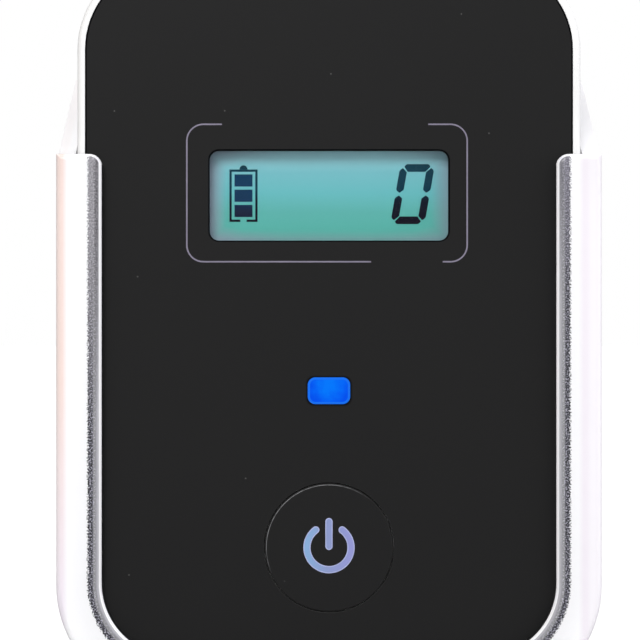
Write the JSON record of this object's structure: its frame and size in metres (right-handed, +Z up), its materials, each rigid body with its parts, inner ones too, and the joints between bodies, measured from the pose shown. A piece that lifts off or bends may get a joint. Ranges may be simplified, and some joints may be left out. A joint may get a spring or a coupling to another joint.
{
  "type": "carbon monoxide monitor",
  "caption": "Battery carbon monoxide monitor with a display, a round key and a small lit key on a black front panel, standing in a clear slide-in wall holder.",
  "frame": {"origin": "on the plane under the holder, midway across its width and its depth", "axes": "+Z up, front panel faces -Y, back plate faces +Y, +X to the right seen from the front"},
  "size_m": [0.069, 0.0294, 0.0945],
  "materials": {
    "holder_clear": "gloss",
    "case_white": "fine satin",
    "panel_black": "satin gloss",
    "tape": "matte",
    "pane_clear": "gloss",
    "lcd_glass": "gloss",
    "frame_white": "matte",
    "zebra_rubber": "matte",
    "diode": "gloss",
    "key_black": "satin gloss",
    "key_blue": "gloss",
    "switch": "matte",
    "board": "satin",
    "chip": "matte",
    "steel": "brushed",
    "brass": "satin",
    "sensor_shell": "matte",
    "sounder_shell": "matte",
    "foam": "matte",
    "cell": "satin"
  },
  "bodies": {
    "holder": {"holder": "holder_clear"},
    "monitor": {"front_shell": "case_white", "rear_shell": "case_white", "front_panel": "panel_black", "panel_tape": "tape", "display_pane": "pane_clear", "lcd_glass": "lcd_glass", "lcd_carrier": "frame_white", "light_guide": "frame_white", "zebra_strips": "zebra_rubber", "backlight_diodes": "diode", "power_switch": "switch", "max_switch": "switch", "blue_diodes": "diode", "main_board": "board", "gas_sensor": "sensor_shell", "sensor_pins": "brass", "sensor_gasket": "foam", "sounder": "sounder_shell", "sounder_gasket": "foam", "battery_cells": "cell", "battery_springs": "steel", "battery_contacts": "steel", "controller": "chip", "crystal": "steel", "chip_parts": "chip", "case_screws": "steel", "board_screws": "steel"},
    "battery_door": {"battery_door": "case_white"},
    "power_key": {"power_button": "key_black", "power_button_stem": "frame_white"},
    "max_key": {"max_button": "key_blue", "max_button_stem": "frame_white"}
  },
  "joints": [
    {"name": "monitor_lift", "type": "slide", "parent": "holder", "child": "monitor", "axis": [0, 0, 1], "range_m": [0, 0.08]},
    {"name": "battery_door_slide", "type": "slide", "parent": "monitor", "child": "battery_door", "axis": [0, 0, 1], "range_m": [0, 0.054]},
    {"name": "power_key_press", "type": "slide", "parent": "monitor", "child": "power_key", "axis": [0, 1, 0], "range_m": [0, 0.0005], "stiffness_N_per_m": 1000, "springref_m": -0.001},
    {"name": "max_key_press", "type": "slide", "parent": "monitor", "child": "max_key", "axis": [0, 1, 0], "range_m": [0, 0.0005], "stiffness_N_per_m": 1000, "springref_m": -0.001}
  ]
}
